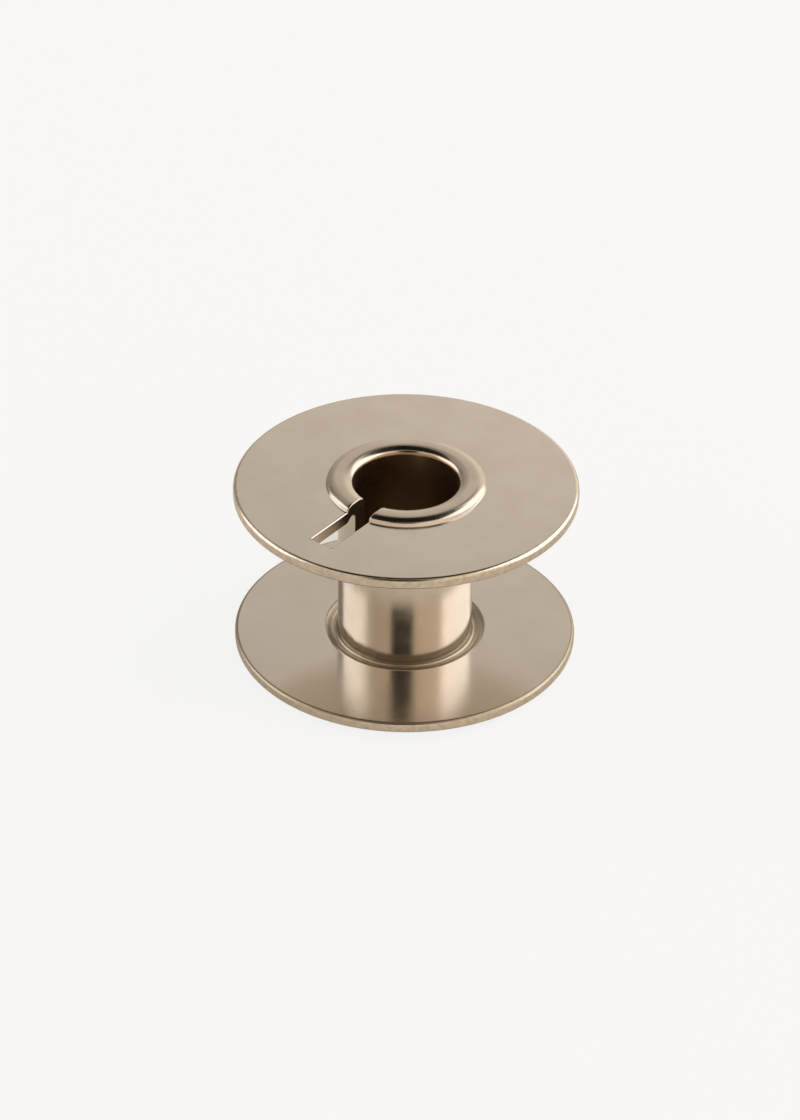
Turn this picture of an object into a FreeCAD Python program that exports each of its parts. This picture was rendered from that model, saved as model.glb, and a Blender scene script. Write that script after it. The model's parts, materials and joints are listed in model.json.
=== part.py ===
import FreeCAD, Part
import math
import os

# A metal bobbin that holds the lower thread of a domestic sewing machine. It is one piece:
# a hollow core between two thin flanges, with a low hub ring round each mouth of the bore,
# a shallow sunk ring round each foot of the core, and a slot through the upper flange.
# Its axis is Z. It stands on the lower hub ring, whose crest is at height 0, and the slot
# runs from the bore towards -Y. All sizes are in millimetres.

# Whole bobbin
overall_height = 11.5            # from the crest of one hub ring to the crest of the other
flange_diameter = 20.3
flange_thickness = 0.7
flange_rim_chamfer = 0.16        # on both edges of each rim

# Bore for the spindle, and the core that the thread is wound on
bore_diameter = 6.2
bore_mouth_depth = 0.28          # from the hub ring's crest down to the bore's straight wall
bore_mouth_rounding = 0.83       # of the arc from the crest into the bore
core_wall = 0.9

# Hub ring raised on the outer face of each flange
hub_ring_shoulder = 0.75         # how far the ring reaches out past the core
hub_ring_height = 0.37
hub_ring_rounding = 0.73         # of the arc from the crest down to the flange

# Ring sunk into the inner face of each flange, behind the hub ring
sunk_ring_width = 0.7            # from the core outwards
sunk_ring_depth = 0.3
core_foot_rounding = 0.3         # in the corner between its floor and the core

# Slot that the winder's key and the end of the thread go through
slot_width = 1.5
slot_rim_margin = 2.05           # from the slot's closed end to the flange's rim
slot_core_depth = 2.0            # how far it goes down the core below the upper flange
slot_corner_rounding = 0.12      # the two corners of the closed end, seen from above
slot_edge_chamfer = 0.08         # on the slot's upper edges, over the flange and the hub ring

# Radii from the axis that follow from the sizes above
flange_radius = flange_diameter / 2
bore_radius = bore_diameter / 2
core_radius = bore_radius + core_wall
hub_ring_radius = core_radius + hub_ring_shoulder
sunk_ring_radius = core_radius + sunk_ring_width
slot_end_radius = flange_radius - slot_rim_margin

# Heights that follow from the sizes above
flange_inner_height = hub_ring_height + flange_thickness
sunk_floor_height = flange_inner_height - sunk_ring_depth
upper_flange_face = overall_height - hub_ring_height
slot_floor_height = overall_height - flange_inner_height - slot_core_depth


def limited_setbacks(points, roundings, half_angles):
    """Distance from each corner to the ends of its arc, shortened where a side is too short."""
    setbacks = [rounding / math.tan(half) for rounding, half in zip(roundings, half_angles)]
    shares = [1.0] * len(points)
    for index in range(len(points)):
        side = points[index].distanceToPoint(points[index - 1])
        wanted = setbacks[index] + setbacks[index - 1]
        if wanted > side:
            shares[index] = min(shares[index], side / wanted)
            shares[index - 1] = min(shares[index - 1], side / wanted)
    return [setback * share for setback, share in zip(setbacks, shares)]


def rounded_face(points, roundings):
    """Flat face inside the corner points, with a tangent arc at each corner that has a rounding."""
    arrivals = [(before - point).normalize() for point, before in zip(points, points[-1:] + points[:-1])]
    departures = [(after - point).normalize() for point, after in zip(points, points[1:] + points[:1])]
    half_angles = [arrival.getAngle(departure) / 2 for arrival, departure in zip(arrivals, departures)]
    setbacks = limited_setbacks(points, roundings, half_angles)
    starts = [point + arrival * setback for point, arrival, setback in zip(points, arrivals, setbacks)]
    ends = [point + departure * setback for point, departure, setback in zip(points, departures, setbacks)]

    edges = []
    for index, point in enumerate(points):
        if not ends[index - 1].isEqual(starts[index], Part.Precision.confusion()):
            edges.append(Part.LineSegment(ends[index - 1], starts[index]).toShape())
        if setbacks[index] > 0:
            half_angle = half_angles[index]
            radius = setbacks[index] * math.tan(half_angle)
            inward = (arrivals[index] + departures[index]).normalize()
            middle = point + inward * (radius / math.sin(half_angle) - radius)
            edges.append(Part.Arc(starts[index], middle, ends[index]).toShape())
    return Part.Face(Part.Wire(edges))


def crest_setback(rounding, drop):
    """Distance along the crest from over an arc's end to its corner, for an arc with that drop."""
    return drop / math.tan(math.acos(1 - drop / rounding))


def half_section():
    """Section of the bobbin's wall on one side of the axis, in the XZ plane."""
    mouth_corner = bore_radius + crest_setback(bore_mouth_rounding, bore_mouth_depth)
    ring_corner = hub_ring_radius - crest_setback(hub_ring_rounding, hub_ring_height)
    lower_half = [
        (bore_radius, bore_mouth_depth, 0),
        (mouth_corner, 0, bore_mouth_rounding),
        (ring_corner, 0, hub_ring_rounding),
        (hub_ring_radius, hub_ring_height, 0),
        (flange_radius - flange_rim_chamfer, hub_ring_height, 0),
        (flange_radius, hub_ring_height + flange_rim_chamfer, 0),
        (flange_radius, flange_inner_height - flange_rim_chamfer, 0),
        (flange_radius - flange_rim_chamfer, flange_inner_height, 0),
        (sunk_ring_radius, flange_inner_height, 0),
        (sunk_ring_radius, sunk_floor_height, 0),
        (core_radius, sunk_floor_height, core_foot_rounding),
    ]
    upper_half = [(r, overall_height - z, rounding) for r, z, rounding in reversed(lower_half)]
    corners = lower_half + upper_half
    points = [FreeCAD.Vector(r, 0, z) for r, z, rounding in corners]
    return rounded_face(points, [rounding for r, z, rounding in corners])


def spool():
    """The bobbin before its slot: the half section turned once round the axis."""
    return half_section().revolve(FreeCAD.Vector(0, 0, 0), FreeCAD.Vector(0, 0, 1), 360)


def slot_cutter():
    """Prism of the slot, from the axis to its closed end and from its floor to clear of the top."""
    side = slot_width / 2
    plan = [(-side, 0), (-side, -slot_end_radius), (side, -slot_end_radius), (side, 0)]
    points = [FreeCAD.Vector(x, y, slot_floor_height) for x, y in plan]
    roundings = [0, slot_corner_rounding, slot_corner_rounding, 0]
    return rounded_face(points, roundings).extrude(FreeCAD.Vector(0, 0, overall_height))


def slot_upper_edges(solid):
    """Edges of the slot at or above the upper flange's outer face."""
    corner = FreeCAD.Vector(-slot_width / 2, -slot_end_radius, upper_flange_face)
    opposite = FreeCAD.Vector(slot_width / 2, 0, overall_height)
    region = FreeCAD.BoundBox(corner, opposite)
    region.enlarge(Part.Precision.approximation())
    return [edge for edge in solid.Edges if region.isInside(edge.BoundBox)]


def bobbin():
    """The whole bobbin as one solid: the spool, slotted, with the slot's upper edges broken."""
    slotted = spool().cut(slot_cutter())
    return slotted.makeChamfer(slot_edge_chamfer, slot_upper_edges(slotted)).Solids[0]


os.makedirs("parts", exist_ok=True)
shape = bobbin()
shape.exportStep("parts/bobbin.step")
print("bobbin:", shape.ShapeType, "valid", shape.isValid(), "volume", round(shape.Volume, 2))
print("box:", shape.optimalBoundingBox())
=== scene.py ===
# %% [markdown]
# # A sewing machine bobbin in bright nickel
# A bobbin holds the lower thread of a sewing machine. It is one piece of turned and plated steel:
# a hollow core between two thin flanges, with a low ring round each end of the bore and one slot.
# This lesson builds its visible skin, gives it a plated finish and lights it on a pale table.
# A polished metal part has hardly any colour of its own. What the eye reads as its shape is the
# room, mirrored in it, so smooth curves and well placed soft boxes matter more than any pattern.

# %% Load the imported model
import json
import math

import bmesh
import bpy
from mathutils import Matrix, Vector


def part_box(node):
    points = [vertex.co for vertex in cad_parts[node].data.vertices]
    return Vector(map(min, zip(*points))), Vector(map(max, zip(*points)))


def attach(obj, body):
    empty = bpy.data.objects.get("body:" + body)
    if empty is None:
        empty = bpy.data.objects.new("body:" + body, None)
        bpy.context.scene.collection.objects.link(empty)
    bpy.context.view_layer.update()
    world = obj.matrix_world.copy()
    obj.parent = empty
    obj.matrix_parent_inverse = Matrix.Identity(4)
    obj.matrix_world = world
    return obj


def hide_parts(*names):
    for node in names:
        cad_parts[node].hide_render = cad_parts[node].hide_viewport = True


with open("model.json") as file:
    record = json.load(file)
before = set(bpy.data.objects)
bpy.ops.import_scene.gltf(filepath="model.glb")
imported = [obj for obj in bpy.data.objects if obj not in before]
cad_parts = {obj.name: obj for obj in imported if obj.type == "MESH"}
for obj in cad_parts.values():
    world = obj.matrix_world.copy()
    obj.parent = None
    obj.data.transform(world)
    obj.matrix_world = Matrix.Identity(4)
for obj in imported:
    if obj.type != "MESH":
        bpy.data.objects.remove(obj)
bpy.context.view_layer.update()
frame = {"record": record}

# %% [markdown]
# ## Sizes
# The solid model already fixes the sizes that matter, so three of them are read from it: its box
# gives the height, and two mounts in its record give the flanges and the bore. The rest are the
# same sizes that the solid was drawn with. Every length is in metres, the unit of the frame, and
# heights are measured from the crest of the lower ring, where the bobbin stands.

# %% Sizes of the bobbin
mm = 0.001
CORE_WALL = 0.9 * mm
HUB_RING_SHOULDER = 0.75 * mm
HUB_RING_HEIGHT = 0.37 * mm
FLANGE_THICKNESS = 0.7 * mm
SUNK_RING_WIDTH = 0.7 * mm
SUNK_RING_DEPTH = 0.3 * mm
SLOT_WIDTH = 1.5 * mm
SLOT_RIM_MARGIN = 2.05 * mm
SLOT_CORE_DEPTH = 2.0 * mm

mounts = {mount["name"]: mount for mount in frame["record"]["mounts"]}
lowest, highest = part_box("bobbin")
overall_height = highest.z - lowest.z
flange_radius = mounts["case_seat"]["dims"]["r_mm"] * mm
bore_radius = mounts["spindle_bore"]["dims"]["r_mm"] * mm
core_radius = bore_radius + CORE_WALL
hub_ring_radius = core_radius + HUB_RING_SHOULDER
sunk_ring_radius = core_radius + SUNK_RING_WIDTH
flange_inner_height = HUB_RING_HEIGHT + FLANGE_THICKNESS
sunk_floor_height = flange_inner_height - SUNK_RING_DEPTH
flange_top = overall_height - HUB_RING_HEIGHT
flange_underside = overall_height - flange_inner_height
slot_half_width = SLOT_WIDTH / 2
slot_end = flange_radius - SLOT_RIM_MARGIN
slot_corner_radius = math.hypot(slot_half_width, slot_end)
slot_floor_height = flange_underside - SLOT_CORE_DEPTH
print("height and flange diameter in mm:", overall_height / mm, 2 * flange_radius / mm)

# %% [markdown]
# ## The section
# A turned part is a section swung round an axis, so the section is all that has to be drawn.
# It starts as a face with square corners, one vertex for each. Vertex bevels then round the
# corners, because a real edge always has a radius and in polished metal that radius is a line of
# light. The hub ring is a crown with a steep wall, and the sunk ring has a sloped side: these are
# drawn finer here than in the solid. Only the foot of the ring's wall stays sharp. A few more
# vertices lie on straight sides, where the slot will begin and end.

# %% Corners of one end
MOUTH_SLOPE = math.radians(30)
MOUTH_DROP = 0.218 * mm
CROWN_SLOPE = math.radians(35)
SHOULDER_DROP = 0.16 * mm
WALL_SLOPE = math.radians(69)
FOOT_INSET = 0.04 * mm
SUNK_SIDE_RUN = 0.32 * mm
mouth_crown = bore_radius + MOUTH_DROP / math.tan(MOUTH_SLOPE)
foot_radius = hub_ring_radius - FOOT_INSET
shoulder_radius = foot_radius - (HUB_RING_HEIGHT - SHOULDER_DROP) / math.tan(WALL_SLOPE)
shoulder_crown = shoulder_radius - SHOULDER_DROP / math.tan(CROWN_SLOPE)
sunk_floor_radius = sunk_ring_radius - SUNK_SIDE_RUN

BORE_EDGE = 0.19 * mm
MOUTH_CROWN = 0.245 * mm
RING_CROWN = 0.30 * mm
RING_SHOULDER = 0.03 * mm
RIM_OUTER_EDGE = 0.25 * mm
RIM_INNER_EDGE = 0.20 * mm
SUNK_EDGE = 0.14 * mm
SUNK_CORNER = 0.14 * mm
CORE_FOOT = 0.22 * mm

# A corner is its distance from the axis, its height, how far back its rounding starts, and the
# steps in that rounding.
ring_corners = [
    (bore_radius, MOUTH_DROP, BORE_EDGE, 8),
    (mouth_crown, 0.0, MOUTH_CROWN, 7),
    (shoulder_crown, 0.0, RING_CROWN, 7),
    (shoulder_radius, SHOULDER_DROP, RING_SHOULDER, 5),
    (foot_radius, HUB_RING_HEIGHT, 0.0, 0),
]
rim_corners = [
    (flange_radius, HUB_RING_HEIGHT, RIM_OUTER_EDGE, 7),
    (flange_radius, flange_inner_height, RIM_INNER_EDGE, 6),
]
sunk_corners = [
    (sunk_ring_radius, flange_inner_height, SUNK_EDGE, 5),
    (sunk_floor_radius, sunk_floor_height, SUNK_CORNER, 4),
    (core_radius, sunk_floor_height, CORE_FOOT, 7),
]
print("hub ring's foot in mm from the axis:", round(foot_radius / mm, 2))

# %% Draw the section with square corners


def at_upper_end(corners):
    """The same corners at the other end of the bobbin, where they come in the opposite order."""
    return [(r, overall_height - z, edge, steps) for r, z, edge, steps in reversed(corners)]


lower_end = ring_corners + rim_corners + sunk_corners
upper_end = [
    (core_radius, slot_floor_height, 0.0, 0),
    *at_upper_end(sunk_corners),
    (slot_corner_radius, flange_underside, 0.0, 0),
    *at_upper_end(rim_corners),
    (slot_corner_radius, flange_top, 0.0, 0),
    *at_upper_end(ring_corners),
    (bore_radius, slot_floor_height, 0.0, 0),
]
section_corners = lower_end + upper_end

skin = bmesh.new()
corner_verts = [skin.verts.new((0.0, -r, z)) for r, z, edge, steps in section_corners]
skin.faces.new(corner_verts)
print("square corners in the section:", len(section_corners))

# %% Round the corners
for vert, (r, z, edge, steps) in zip(corner_verts, section_corners):
    if edge > 0.0:
        bmesh.ops.bevel(
            skin,
            geom=[vert],
            affect="VERTICES",
            offset_type="ABSOLUTE",
            offset=edge,
            segments=steps,
            profile=0.5,
            material=-1,
            clamp_overlap=True,
        )
bmesh.ops.delete(skin, geom=skin.faces[:], context="FACES_ONLY")
print("points in the rounded section:", len(skin.verts))

# %% [markdown]
# ## The turning
# Spin sweeps the section once round the Z axis, as a lathe would. Merging the last step with the
# first closes the skin. Many narrow steps keep the mirror images on the core free of kinks.

# %% Spin the section round the axis
TURN_STEPS = 160
MERGE_DISTANCE = 0.0005 * mm
bmesh.ops.spin(
    skin,
    geom=skin.verts[:] + skin.edges[:],
    cent=(0.0, 0.0, 0.0),
    axis=(0.0, 0.0, 1.0),
    angle=math.tau,
    steps=TURN_STEPS,
    use_merge=True,
)
bmesh.ops.remove_doubles(skin, verts=skin.verts[:], dist=MERGE_DISTANCE)
bmesh.ops.recalc_face_normals(skin, faces=skin.faces[:])
print("faces in the turned skin:", len(skin.faces))

# %% [markdown]
# ## The slot
# The slot is cut from above through ring, flange and core. A Boolean cut would leave slivers beside
# the slot, and slivers spoil both the edge bevel and the reflections. So the mesh lines are first
# led along the slot's two sides. For that each vertex only turns about the axis, so every surface
# stays as round as the lathe left it. The closed end is then made straight. After that the strip
# between the two lines can simply be taken out, and its sides, end and floor are filled again.

# %% Lead the mesh lines along the slot's sides
TOUCH = 0.001 * mm
strip_angle = math.tau / TURN_STEPS

for vert in skin.verts:
    angle_from_slot = math.atan2(vert.co.x, -vert.co.y)
    side_angle = math.asin(slot_half_width / vert.co.xy.length)
    if abs(angle_from_slot) < strip_angle:
        wanted = abs(angle_from_slot) / strip_angle * side_angle
    else:
        share = (abs(angle_from_slot) - strip_angle) / (math.pi - strip_angle)
        wanted = side_angle + share * (math.pi - side_angle)
    turn = math.copysign(wanted, angle_from_slot) - angle_from_slot
    vert.co = Matrix.Rotation(turn, 3, "Z") @ vert.co

for vert in skin.verts:
    on_end_ring = abs(vert.co.xy.length - slot_corner_radius) < TOUCH
    if on_end_ring and abs(vert.co.x) < slot_half_width and vert.co.y < 0.0:
        vert.co.y = -slot_end
print("mesh lines led along the slot, in mm apart:", SLOT_WIDTH / mm)

# %% Take out the strip


def in_slot(face):
    """True for a face between the slot's sides, inside its end and above its floor."""
    middle = face.calc_center_median()
    beside = abs(middle.x) < slot_half_width - TOUCH and middle.y < 0.0
    return beside and middle.xy.length < slot_corner_radius and middle.z > slot_floor_height


strip = [face for face in skin.faces if in_slot(face)]
bmesh.ops.delete(skin, geom=strip, context="FACES")
open_edges = [edge for edge in skin.edges if edge.is_boundary]
print("strip faces taken out:", len(strip), "open edges:", len(open_edges))

# %% Join the corners of the opening


def open_vert(x, r, z):
    """The vertex of the slot's open edge that is nearest to that place."""
    place = Vector((x, -math.sqrt(r * r - x * x), z))
    verts = {vert for edge in open_edges for vert in edge.verts}
    return min(verts, key=lambda vert: (vert.co - place).length)


corner_edges = {}
floor_edges = {}
for side in (-1, 1):
    x = side * slot_half_width
    top_corner = open_vert(x, slot_corner_radius, flange_top)
    low_corner = open_vert(x, slot_corner_radius, flange_underside)
    corner_edges[side] = skin.edges.new((top_corner, low_corner))
    bore_end = open_vert(x, bore_radius, slot_floor_height)
    core_end = open_vert(x, core_radius, slot_floor_height)
    floor_edges[side] = skin.edges.new((bore_end, core_end))
print("edges added:", len(corner_edges) + len(floor_edges))

# %% Wall the slot
# The bore, slot and sunk-ring tints and the crown tint are painted shade; the rim tint is a painted
# reflection.
FINISHES = ("outside", "bore", "dull_and_shaded", "slot", "rim", "crown", "core")
OUTSIDE, BORE, DULL_AND_SHADED, SLOT, RIM, CROWN, CORE = range(len(FINISHES))


def edge_middle(edge):
    """The point halfway along an edge."""
    return (edge.verts[0].co + edge.verts[1].co) / 2


wall_loops = []
for side in (-1, 1):
    x = side * slot_half_width
    side_edges = [edge for edge in open_edges if abs(edge_middle(edge).x - x) < TOUCH]
    wall_loops.append(side_edges + [corner_edges[side], floor_edges[side]])
cross_edges = [edge for edge in open_edges if abs(edge_middle(edge).x) < slot_half_width - TOUCH]
end_edges = [edge for edge in cross_edges if edge_middle(edge).y < -core_radius - TOUCH]
floor_cross_edges = [edge for edge in cross_edges if edge not in end_edges]
wall_loops.append(end_edges + list(corner_edges.values()))
wall_loops.append(floor_cross_edges + list(floor_edges.values()))

slot_faces = []
for loop in wall_loops:
    slot_faces += bmesh.ops.edgeloop_fill(skin, edges=loop)["faces"]
for face in slot_faces:
    face.material_index = SLOT
bmesh.ops.recalc_face_normals(skin, faces=skin.faces[:])
print("slot walls:", len(slot_faces), "open edges left:", sum(edge.is_boundary for edge in skin.edges))

# %% [markdown]
# ## The slot's edges
# A raw cut edge would snag the thread, so on the real bobbin it is broken before plating. One
# bevel rounds the two upright corners of the closed end. A second one rounds the edges that the
# thread meets from above, on the flange, over the hub ring and into the mouth of the bore.

# %% Round the slot's edges
SLOT_CORNER = 0.12 * mm
SLOT_EDGE = 0.08 * mm
SLOT_EDGE_STEPS = 3
FOLD_ANGLE = math.radians(40)


def round_edges(edges, size):
    """Round edges of the skin, starting that far from each edge."""
    bmesh.ops.bevel(
        skin,
        geom=edges,
        affect="EDGES",
        offset=size,
        segments=SLOT_EDGE_STEPS,
        profile=0.5,
        material=-1,
    )


def is_upper_slot_edge(edge):
    """True for a sharp edge of the slot that lies at or above the upper flange's face."""
    if len(edge.link_faces) != 2:
        return False
    middle = edge_middle(edge)
    inside = abs(middle.x) < slot_half_width + TOUCH and -slot_end - TOUCH < middle.y < 0.0
    return inside and middle.z > flange_top - TOUCH and edge.calc_face_angle() > FOLD_ANGLE


round_edges(list(corner_edges.values()), SLOT_CORNER)
upper_edges = [edge for edge in skin.edges if is_upper_slot_edge(edge)]
round_edges(upper_edges, SLOT_EDGE)
print("upper slot edges rounded:", len(upper_edges))

# %% [markdown]
# ## Where the finish changes
# The plating is one coat over the whole bobbin, but it doesn't look the same all over. The flats
# and the core are buffed bright. The crowns of the hub rings get a little darker tint, which is
# painted shade, and the rims are worn in places and get a lighter tint, which is a painted
# reflection. The wall of the bore, the sunk rings, the inner edges of the rims and the cut faces of
# the slot are out of a buffing wheel's reach, so they stay duller, and their darker, browner tint is
# painted shade in these hollows. Each kind of face gets its own material slot. The faces are sorted
# here, while their places are still easy to tell.

# %% Sort the faces by finish
MOUTH_REACH = 0.075 * mm
CORE_REACH = 0.05 * mm
RIM_REACH = 0.1 * mm
SUNK_REACH = 0.07 * mm


def finish_of(face):
    """Material slot for a turned face, told by its distance from the axis and its height."""
    middle = face.calc_center_median()
    radius = middle.xy.length
    from_end = min(middle.z, overall_height - middle.z)
    if radius < bore_radius + MOUTH_REACH:
        return BORE
    if radius < shoulder_radius and from_end < SHOULDER_DROP:
        return CROWN
    if radius < core_radius + CORE_REACH and from_end > flange_inner_height:
        return CORE
    # The rims' inner edges and the sunk rings get the finish whose darker tint is painted shade.
    if radius > flange_radius - RIM_INNER_EDGE and from_end > flange_inner_height - RIM_REACH:
        return DULL_AND_SHADED
    if radius > flange_radius - RIM_OUTER_EDGE:
        return RIM
    in_sunk_ring = core_radius - TOUCH < radius < sunk_ring_radius + SUNK_REACH
    if in_sunk_ring and sunk_floor_height - TOUCH < from_end < flange_inner_height - TOUCH:
        return DULL_AND_SHADED
    return OUTSIDE


for face in skin.faces:
    if face.material_index != SLOT:
        face.material_index = finish_of(face)
for index, finish in enumerate(FINISHES):
    print("faces with the", finish, "finish:", sum(face.material_index == index for face in skin.faces))

# %% [markdown]
# ## One smooth skin
# Smooth shading blends the directions of neighbouring faces, which keeps the core round but would
# also bend the flat flanges near their rims. The Weighted Normal modifier lets the largest face
# at a vertex decide, so a flat stays a true mirror up to its rounded edge. Steep folds are marked
# sharp. The skin rides on the bobbin's body and stands for its solid.

# %% Make the bobbin an object
SHARP_ANGLE = math.radians(35)
for face in skin.faces:
    face.smooth = True
for edge in skin.edges:
    edge.smooth = edge.calc_face_angle(0.0) < SHARP_ANGLE
bobbin_mesh = bpy.data.meshes.new("bobbin_skin")
skin.to_mesh(bobbin_mesh)
skin.free()
bobbin = bpy.data.objects.new("bobbin_skin", bobbin_mesh)
bpy.context.scene.collection.objects.link(bobbin)
flat_normals = bobbin.modifiers.new("keep flats flat", "WEIGHTED_NORMAL")
flat_normals.keep_sharp = True
flat_normals.weight = 100
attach(bobbin, "root")
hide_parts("bobbin")
print("bobbin faces:", len(bobbin_mesh.polygons))

# %% [markdown]
# ## The marks of the lathe
# The cutting tool leaves fine grooves that run round the axis, and plating softens them without
# hiding them. Every point at the same distance from the axis and the same height was cut at the
# same moment, so noise that is read from those two numbers alone runs round the part by itself:
# as circles on the flanges and as rings on the core. It is a node group, because every finish
# on the bobbin uses it with its own spacing.

# %% Node group for the turning marks
marks_group = bpy.data.node_groups.new("turning_marks", "ShaderNodeTree")
marks_group.interface.new_socket("Vector", in_out="INPUT", socket_type="NodeSocketVector")
marks_group.interface.new_socket("Marks per metre", in_out="INPUT", socket_type="NodeSocketFloat")
marks_group.interface.new_socket("Marks", in_out="OUTPUT", socket_type="NodeSocketFloat")


def add_node(tree, kind, **settings):
    """Add a node of that kind and set its properties."""
    node = tree.nodes.new(kind)
    for name, value in settings.items():
        setattr(node, name, value)
    return node


marks_in = add_node(marks_group, "NodeGroupInput")
marks_out = add_node(marks_group, "NodeGroupOutput")
across = add_node(marks_group, "ShaderNodeVectorMath", operation="MULTIPLY")
across.inputs[1].default_value = (1.0, 1.0, 0.0)
from_axis = add_node(marks_group, "ShaderNodeVectorMath", operation="LENGTH")
height = add_node(marks_group, "ShaderNodeSeparateXYZ")
cut_place = add_node(marks_group, "ShaderNodeCombineXYZ")
grooves = add_node(marks_group, "ShaderNodeTexNoise", noise_dimensions="2D")
grooves.inputs["Detail"].default_value = 3.0
grooves.inputs["Roughness"].default_value = 0.6
marks_group.links.new(marks_in.outputs["Vector"], across.inputs[0])
marks_group.links.new(marks_in.outputs["Vector"], height.inputs["Vector"])
marks_group.links.new(across.outputs["Vector"], from_axis.inputs[0])
marks_group.links.new(from_axis.outputs["Value"], cut_place.inputs["X"])
marks_group.links.new(height.outputs["Z"], cut_place.inputs["Y"])
marks_group.links.new(cut_place.outputs["Vector"], grooves.inputs["Vector"])
marks_group.links.new(marks_in.outputs["Marks per metre"], grooves.inputs["Scale"])
marks_group.links.new(grooves.outputs["Fac"], marks_out.inputs["Marks"])
print("turning marks nodes:", len(marks_group.nodes))

# %% [markdown]
# ## The haze of handling
# Bright nickel dulls a little where fingers and thread have been, in soft clouds a few millimetres
# wide on the flats and smaller on the rims, with a finer grain inside them. The haze changes both
# how yellow the metal looks and how sharply it mirrors, so one group gives the cloud and each
# material uses it for both.

# %% Node group for the haze
haze_group = bpy.data.node_groups.new("plating_haze", "ShaderNodeTree")
haze_group.interface.new_socket("Vector", in_out="INPUT", socket_type="NodeSocketVector")
haze_group.interface.new_socket("Clouds per metre", in_out="INPUT", socket_type="NodeSocketFloat")
haze_group.interface.new_socket("Haze", in_out="OUTPUT", socket_type="NodeSocketFloat")
haze_in = add_node(haze_group, "NodeGroupInput")
haze_out = add_node(haze_group, "NodeGroupOutput")
clouds = add_node(haze_group, "ShaderNodeTexNoise", noise_dimensions="3D")
clouds.inputs["Detail"].default_value = 6.0
clouds.inputs["Roughness"].default_value = 0.55
spread = add_node(haze_group, "ShaderNodeMapRange", interpolation_type="SMOOTHSTEP")
spread.inputs["From Min"].default_value = 0.25
spread.inputs["From Max"].default_value = 0.75
haze_group.links.new(haze_in.outputs["Vector"], clouds.inputs["Vector"])
haze_group.links.new(haze_in.outputs["Clouds per metre"], clouds.inputs["Scale"])
haze_group.links.new(clouds.outputs["Fac"], spread.inputs["Value"])
haze_group.links.new(spread.outputs["Result"], haze_out.inputs["Haze"])
print("haze nodes:", len(haze_group.nodes))

# %% [markdown]
# ## The plating
# Nickel is a warm, slightly yellow mirror. A metal has no colour under its surface, so the base
# colour is the tint of its reflections and Metallic is 1. The flats and the crowns are the sharpest
# mirrors. The bore, the slot, the sunk rings and the inner rim edges are rougher, because polish
# never came there, and their browner, darker tints are painted shade. The crowns' darker tint is
# painted shade too, and the rims' lighter tint is a painted reflection. One function makes all
# seven finishes, so only their values differ, and they are made in the order in which the faces
# were sorted.

# %% A finish of the plating


def plated(name, clean, hazed, sharpest, dullest, clouds_per_metre, marks_per_metre, mark_depth):
    """Give the bobbin a nickel between two tints and two roughnesses, with turning marks as bump."""
    material = bpy.data.materials.new(name)
    material.use_nodes = True
    tree = material.node_tree
    shader = tree.nodes["Principled BSDF"]
    shader.inputs["Metallic"].default_value = 1.0
    coordinates = add_node(tree, "ShaderNodeTexCoord")
    haze = add_node(tree, "ShaderNodeGroup", node_tree=haze_group)
    haze.inputs["Clouds per metre"].default_value = clouds_per_metre
    marks = add_node(tree, "ShaderNodeGroup", node_tree=marks_group)
    marks.inputs["Marks per metre"].default_value = marks_per_metre
    tint = add_node(tree, "ShaderNodeMix", data_type="RGBA")
    tint.inputs["A"].default_value = (*clean, 1.0)
    tint.inputs["B"].default_value = (*hazed, 1.0)
    roughness = add_node(tree, "ShaderNodeMapRange")
    roughness.inputs["To Min"].default_value = sharpest
    roughness.inputs["To Max"].default_value = dullest
    bump = add_node(tree, "ShaderNodeBump")
    bump.inputs["Distance"].default_value = mark_depth
    tree.links.new(coordinates.outputs["Object"], haze.inputs["Vector"])
    tree.links.new(coordinates.outputs["Object"], marks.inputs["Vector"])
    tree.links.new(haze.outputs["Haze"], tint.inputs["Factor"])
    tree.links.new(haze.outputs["Haze"], roughness.inputs["Value"])
    tree.links.new(marks.outputs["Marks"], bump.inputs["Height"])
    tree.links.new(tint.outputs["Result"], shader.inputs["Base Color"])
    tree.links.new(roughness.outputs["Result"], shader.inputs["Roughness"])
    tree.links.new(bump.outputs["Normal"], shader.inputs["Normal"])
    bobbin_mesh.materials.append(material)
    print("finish:", name)


# %% Seven finishes of one plating
plated(
    "buffed_nickel",
    clean=(0.69, 0.64, 0.585), hazed=(0.67, 0.615, 0.555), sharpest=0.15, dullest=0.20,
    clouds_per_metre=350, marks_per_metre=4000, mark_depth=0.0001 * mm,
)
# The bore's darker, browner tint is painted shade inside the bore; its higher roughness is duller
# plating.
plated(
    "bore_nickel",
    clean=(0.46, 0.34, 0.23), hazed=(0.38, 0.27, 0.17), sharpest=0.24, dullest=0.34,
    clouds_per_metre=500, marks_per_metre=9000, mark_depth=0.0004 * mm,
)
# This tint is darker and browner than the flats': painted shade in the sunk rings and under the rims'
# inner edges. The higher roughness is duller plating.
plated(
    "dull_and_shaded_nickel",
    clean=(0.46, 0.40, 0.32), hazed=(0.39, 0.34, 0.26), sharpest=0.28, dullest=0.36,
    clouds_per_metre=700, marks_per_metre=6000, mark_depth=0.0001 * mm,
)
# The slot's darker, browner tint is painted shade inside the cut; its higher roughness is duller
# plating.
plated(
    "slot_nickel",
    clean=(0.51, 0.45, 0.38), hazed=(0.44, 0.38, 0.31), sharpest=0.22, dullest=0.32,
    clouds_per_metre=900, marks_per_metre=9000, mark_depth=0.0004 * mm,
)
# The rims' clean tint is lighter than the flats': a painted brighter reflection. The hazed clouds are
# wear.
plated(
    "rim_nickel",
    clean=(0.76, 0.70, 0.62), hazed=(0.60, 0.53, 0.44), sharpest=0.15, dullest=0.26,
    clouds_per_metre=3500, marks_per_metre=5000, mark_depth=0.0002 * mm,
)
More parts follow.
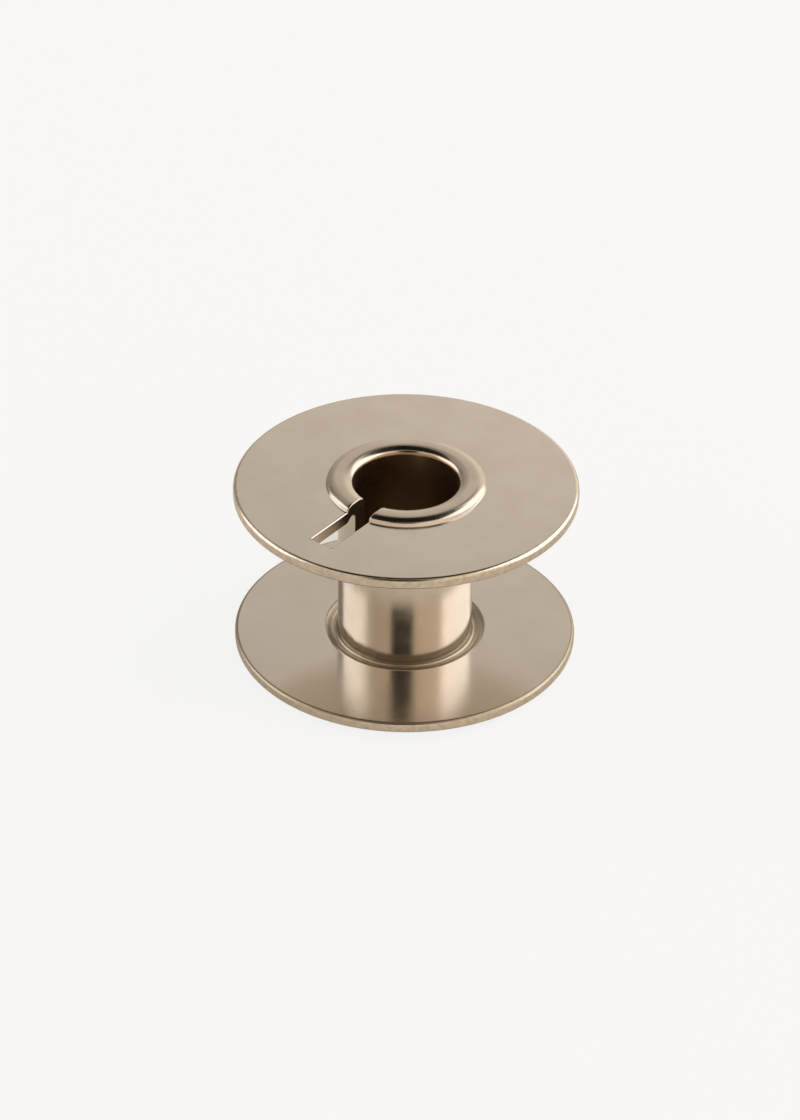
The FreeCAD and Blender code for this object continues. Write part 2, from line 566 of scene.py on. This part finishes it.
# The crowns' darker tint is painted shade, in place of a darker reflection.
plated(
    "crown_nickel",
    clean=(0.63, 0.57, 0.48), hazed=(0.58, 0.52, 0.43), sharpest=0.15, dullest=0.20,
    clouds_per_metre=600, marks_per_metre=5000, mark_depth=0.0001 * mm,
)
plated(
    "core_nickel",
    clean=(0.69, 0.64, 0.585), hazed=(0.67, 0.615, 0.555), sharpest=0.165, dullest=0.225,
    clouds_per_metre=900, marks_per_metre=4000, mark_depth=0.0002 * mm,
)
print("material slots:", len(bobbin_mesh.materials))

# %% [markdown]
# ## Directions in the studio
# Lights for a mirror are placed by where they appear in it, so places in this studio are given as
# a viewer would: so many degrees to the camera's right, and so many degrees above the table.

# %% Directions about the camera
CAMERA_AZIMUTH = 36.6
CAMERA_ELEVATION = 33.749
heading = math.radians(CAMERA_AZIMUTH)
toward_camera = Vector((math.sin(heading), -math.cos(heading), 0.0))
camera_right = Vector((math.cos(heading), math.sin(heading), 0.0))
up = Vector((0.0, 0.0, 1.0))
aim = Vector((0.0, 0.0, overall_height / 2))


def studio_direction(azimuth, elevation):
    """Direction at degrees to the camera's right and degrees above the table."""
    a = math.radians(azimuth)
    e = math.radians(elevation)
    level = toward_camera * math.cos(a) + camera_right * math.sin(a)
    return level * math.cos(e) + up * math.sin(e)


def facing(direction):
    """Turn that points an object's -Z axis along a direction."""
    return direction.to_track_quat("-Z", "Y")


print("towards the camera, along the table:", [round(value, 3) for value in toward_camera])

# %% [markdown]
# ## The table
# The bobbin stands on white paper. Part of its white is its own glow, for the camera and for
# mirrors only, so the paper stays white without more light on the bobbin. The rest is lit like any
# paper, and that part keeps the bobbin's soft shadow. The glow fades in a small round place just
# behind the bobbin's middle, which is a painted shadow on the paper. The camera sees that place
# through the slot, where paper as white as the rest would be too bright for the shade between the
# flanges.

# %% Table top
TABLE_HALF_SIZE = 3.0
TABLE_GAP = 0.01 * mm
floor_bm = bmesh.new()
bmesh.ops.create_grid(floor_bm, x_segments=1, y_segments=1, size=TABLE_HALF_SIZE)
bmesh.ops.translate(floor_bm, verts=floor_bm.verts[:], vec=(0.0, 0.0, -TABLE_GAP))
floor_mesh = bpy.data.meshes.new("table_top")
floor_bm.to_mesh(floor_mesh)
floor_bm.free()
floor = bpy.data.objects.new("table_top", floor_mesh)
bpy.context.scene.collection.objects.link(floor)
print("table top:", 2 * TABLE_HALF_SIZE, "m square")

# %% White paper
PAPER = (0.82, 0.745, 0.61, 1.0)
GLOW = (0.985, 0.992, 1.0, 1.0)
MATT = 0.9
CAMERA_GLOW = 0.86
MIRROR_GLOW = 0.15
# The next four values set a painted shadow: the paper's camera glow fades round a place behind the
# bobbin.
PAINTED_SHADOW_GLOW = 0.35
PAINTED_SHADOW_DISTANCE = 8.5 * mm
PAINTED_SHADOW_INNER = 4.5 * mm
PAINTED_SHADOW_OUTER = 8.5 * mm

paper = bpy.data.materials.new("white_paper")
paper.use_nodes = True
paper_tree = paper.node_tree
paper_shader = paper_tree.nodes["Principled BSDF"]
paper_shader.inputs["Base Color"].default_value = PAPER
paper_shader.inputs["Roughness"].default_value = MATT
paper_shader.inputs["Specular IOR Level"].default_value = 0.0
glow = add_node(paper_tree, "ShaderNodeEmission")
glow.inputs["Color"].default_value = GLOW
lit_or_glowing = add_node(paper_tree, "ShaderNodeMixShader")
paper_tree.links.new(paper_shader.outputs["BSDF"], lit_or_glowing.inputs[1])
paper_tree.links.new(glow.outputs["Emission"], lit_or_glowing.inputs[2])
paper_output = paper_tree.nodes["Material Output"]
paper_tree.links.new(lit_or_glowing.outputs["Shader"], paper_output.inputs["Surface"])
floor_mesh.materials.append(paper)
print("paper glow for the camera and for mirrors:", CAMERA_GLOW, MIRROR_GLOW)

# %% Share of the paper's glow
# The glow fades round a place behind the bobbin: a painted shadow on the paper.
table_place = add_node(paper_tree, "ShaderNodeTexCoord")
from_painted_shadow = add_node(paper_tree, "ShaderNodeVectorMath", operation="DISTANCE")
from_painted_shadow.inputs[1].default_value = -PAINTED_SHADOW_DISTANCE * toward_camera
camera_glow = add_node(paper_tree, "ShaderNodeMapRange", interpolation_type="SMOOTHSTEP")
camera_glow.inputs["From Min"].default_value = PAINTED_SHADOW_INNER
camera_glow.inputs["From Max"].default_value = PAINTED_SHADOW_OUTER
camera_glow.inputs["To Min"].default_value = PAINTED_SHADOW_GLOW
camera_glow.inputs["To Max"].default_value = CAMERA_GLOW
paper_tree.links.new(table_place.outputs["Object"], from_painted_shadow.inputs[0])
paper_tree.links.new(from_painted_shadow.outputs["Value"], camera_glow.inputs["Value"])

rays = add_node(paper_tree, "ShaderNodeLightPath")
for_mirrors = add_node(paper_tree, "ShaderNodeMath", operation="MAXIMUM")
mirror_share = add_node(paper_tree, "ShaderNodeMath", operation="MULTIPLY")
mirror_share.inputs[1].default_value = MIRROR_GLOW
glow_share = add_node(paper_tree, "ShaderNodeMath", operation="MULTIPLY_ADD")
paper_tree.links.new(rays.outputs["Is Glossy Ray"], for_mirrors.inputs[0])
paper_tree.links.new(rays.outputs["Is Transmission Ray"], for_mirrors.inputs[1])
paper_tree.links.new(for_mirrors.outputs["Value"], mirror_share.inputs[0])
paper_tree.links.new(rays.outputs["Is Camera Ray"], glow_share.inputs[0])
paper_tree.links.new(camera_glow.outputs["Result"], glow_share.inputs[1])
paper_tree.links.new(mirror_share.outputs["Value"], glow_share.inputs[2])
paper_tree.links.new(glow_share.outputs["Value"], lit_or_glowing.inputs["Fac"])
print("paper nodes:", len(paper_tree.nodes))

# %% [markdown]
# ## Soft boxes and dark cards
# Two broad soft boxes stand left and right of the bobbin and draw the white bands on the core and
# the crescents on the hub ring. Two black cards give the dark lines between them: one round the
# camera and above it, and one overhead. Without something dark to mirror, polished metal looks
# like paint. The camera doesn't see boxes or cards, only their images in the metal.

# %% Soft boxes
STUDIO_DISTANCE = 0.6


def half_span(angle):
    """Half the width, at a distance of 1, of something that covers an angle in degrees."""
    return math.tan(math.radians(angle / 2))


def soft_box(name, azimuth, elevation, width_angle, height_angle, brightness):
    """A rectangular lamp that covers those angles, seen from the bobbin. Its watts follow its area."""
    lamp = bpy.data.lights.new(name, "AREA")
    lamp.shape = "RECTANGLE"
    lamp.size = 2 * STUDIO_DISTANCE * half_span(width_angle)
    lamp.size_y = 2 * STUDIO_DISTANCE * half_span(height_angle)
    lamp.energy = brightness * math.pi * lamp.size * lamp.size_y
    box = bpy.data.objects.new(name, lamp)
    bpy.context.scene.collection.objects.link(box)
    direction = studio_direction(azimuth, elevation)
    box.location = aim + direction * STUDIO_DISTANCE
    box.rotation_mode = "QUATERNION"
    box.rotation_quaternion = facing(-direction)
    box.visible_camera = False
    print(name, "in watts:", round(lamp.energy, 2))


soft_box("soft_box_right", azimuth=108.5, elevation=35, width_angle=67, height_angle=58, brightness=1.20)
soft_box("soft_box_left", azimuth=-101, elevation=25, width_angle=50, height_angle=44, brightness=1.13)

# %% Dark cards
CARD_BLACK = (0.01, 0.01, 0.01, 1.0)
black = bpy.data.materials.new("black_card")
black.use_nodes = True
black_shader = black.node_tree.nodes["Principled BSDF"]
black_shader.inputs["Base Color"].default_value = CARD_BLACK
black_shader.inputs["Roughness"].default_value = MATT
black_shader.inputs["Specular IOR Level"].default_value = 0.0


def dark_card(name, azimuth, elevation, width_angle, height_angle):
    """A black card that covers those angles, seen from the bobbin."""
    card_bm = bmesh.new()
    bmesh.ops.create_grid(card_bm, x_segments=1, y_segments=1, size=STUDIO_DISTANCE)
    spans = (half_span(width_angle), half_span(height_angle), 1.0)
    bmesh.ops.scale(card_bm, verts=card_bm.verts[:], vec=spans)
    direction = studio_direction(azimuth, elevation)
    place = Matrix.Translation(aim + direction * STUDIO_DISTANCE)
    turn = facing(-direction).to_matrix().to_4x4()
    bmesh.ops.transform(card_bm, verts=card_bm.verts[:], matrix=place @ turn)
    card_mesh = bpy.data.meshes.new(name)
    card_bm.to_mesh(card_mesh)
    card_bm.free()
    card_mesh.materials.append(black)
    card = bpy.data.objects.new(name, card_mesh)
    bpy.context.scene.collection.objects.link(card)
    card.visible_camera = False
    print(name, "at", azimuth, "degrees to the right and", elevation, "up")


dark_card("dark_card_front", azimuth=-4, elevation=45, width_angle=31.5, height_angle=44)
dark_card("dark_card_above", azimuth=-172, elevation=77.5, width_angle=57, height_angle=45)

# %% [markdown]
# ## The room
# The rest of what the metal mirrors is the room: a warm wall, lighter on the right and low behind
# the bobbin, and darker towards the ceiling. The flat flanges mirror only a few degrees of it, so
# this slow change from light to dark is what keeps them from looking like flat paint. Smaller dark
# patches beyond the boxes and between the cards set off the lines of light on rings and rims.

# %% Patches of light and shade in the room
BASE_LIGHT = 0.60
world = bpy.data.worlds.new("soft_room")
world.use_nodes = True
room_tree = world.node_tree
outward = add_node(room_tree, "ShaderNodeTexCoord")


def nearness_to(label, azimuth, elevation, inner_angle, outer_angle):
    """1 within the inner angle of a direction, fading to 0 at the outer angle, all in degrees."""
    cosine = add_node(room_tree, "ShaderNodeVectorMath", operation="DOT_PRODUCT")
    cosine.inputs[1].default_value = studio_direction(azimuth, elevation)
    fade = add_node(room_tree, "ShaderNodeMapRange", interpolation_type="SMOOTHSTEP", label=label)
    fade.inputs["From Min"].default_value = math.cos(math.radians(outer_angle))
    fade.inputs["From Max"].default_value = math.cos(math.radians(inner_angle))
    room_tree.links.new(outward.outputs["Generated"], cosine.inputs[0])
    room_tree.links.new(cosine.outputs["Value"], fade.inputs["Value"])
    return fade.outputs["Result"]


def add_light(level, amount, nearness):
    """The level so far, plus an amount of light where the nearness is 1."""
    total = add_node(room_tree, "ShaderNodeMath", operation="MULTIPLY_ADD")
    total.inputs[1].default_value = amount
    room_tree.links.new(nearness, total.inputs[0])
    if isinstance(level, float):
        total.inputs[2].default_value = level
    else:
        room_tree.links.new(level, total.inputs[2])
    return total.outputs["Value"]


# A patch is the light that it adds, its azimuth and elevation, and its inner and outer angle.
room_patches = {
    "light right side": (0.28, 90, 0, 0, 180),
    "light low behind": (0.25, 168, 5, 12, 38),
    "dark low behind, left": (-0.28, -155, 8, 12, 36),
    "dark beyond the left box": (-0.26, -141, 37, 4, 15),
    "dark beyond the right box": (-0.30, 160, 46, 5, 17),
    "dark between the cards": (-0.42, 0, 74, 6, 26),
}
room_level = BASE_LIGHT
for label, (amount, azimuth, elevation, inner_angle, outer_angle) in room_patches.items():
    nearness = nearness_to(label, azimuth, elevation, inner_angle, outer_angle)
    room_level = add_light(room_level, amount, nearness)
print("patches in the room:", len(room_patches))

# %% Ceiling and walls
CEILING_SHADE = 0.5
BACK_WALL = (1.0, 0.90, 0.79, 1.0)
FRONT_WALL = (1.15, 0.95, 0.73, 1.0)
ceiling = nearness_to("ceiling behind", azimuth=180, elevation=60, inner_angle=0, outer_angle=31)
front = nearness_to("front wall", azimuth=0, elevation=20, inner_angle=50, outer_angle=110)
shaded_level = add_node(room_tree, "ShaderNodeMath", operation="MULTIPLY")
room_tree.links.new(room_level, shaded_level.inputs[0])
room_tree.links.new(add_light(1.0, -CEILING_SHADE, ceiling), shaded_level.inputs[1])
wall = add_node(room_tree, "ShaderNodeMix", data_type="RGBA")
wall.inputs["A"].default_value = BACK_WALL
wall.inputs["B"].default_value = FRONT_WALL
room_tree.links.new(front, wall.inputs["Factor"])
background = room_tree.nodes["Background"]
room_tree.links.new(wall.outputs["Result"], background.inputs["Color"])
room_tree.links.new(shaded_level.outputs["Value"], background.inputs["Strength"])
bpy.context.scene.world = world
print("room nodes:", len(room_tree.nodes))

# %% [markdown]
# ## The camera
# The camera looks down at the bobbin from arm's length. Its place and lens come from fitting the
# edges of both flanges in the photo: the upper flange is nearer and looks a little larger, and
# that difference gives the distance.

# %% Camera
PICTURE_WIDTH = 800
PICTURE_HEIGHT = 1120
PICTURE_CENTRE = (405.35, 559.5)
FOCAL_PIXELS = 4202.2
CAMERA_DISTANCE = 249.0 * mm
CAMERA_ROLL = math.radians(0.659)

camera_data = bpy.data.cameras.new("camera")
camera_data.sensor_width = 36.0
camera_data.lens = FOCAL_PIXELS / PICTURE_HEIGHT * camera_data.sensor_width
camera_data.shift_x = (PICTURE_WIDTH / 2 - PICTURE_CENTRE[0]) / PICTURE_HEIGHT
camera_data.shift_y = (PICTURE_CENTRE[1] - PICTURE_HEIGHT / 2) / PICTURE_HEIGHT
camera_data.clip_start = 0.01
camera_data.clip_end = 20.0
camera = bpy.data.objects.new("camera", camera_data)
bpy.context.scene.collection.objects.link(camera)
view_direction = studio_direction(0, CAMERA_ELEVATION)
camera_place = Matrix.Translation(aim + view_direction * CAMERA_DISTANCE)
camera_turn = facing(-view_direction).to_matrix().to_4x4()
camera.matrix_world = camera_place @ camera_turn @ Matrix.Rotation(CAMERA_ROLL, 4, "Z")
bpy.context.scene.camera = camera
bpy.context.scene.view_settings.view_transform = "Standard"
print("lens in mm:", round(camera_data.lens, 1))
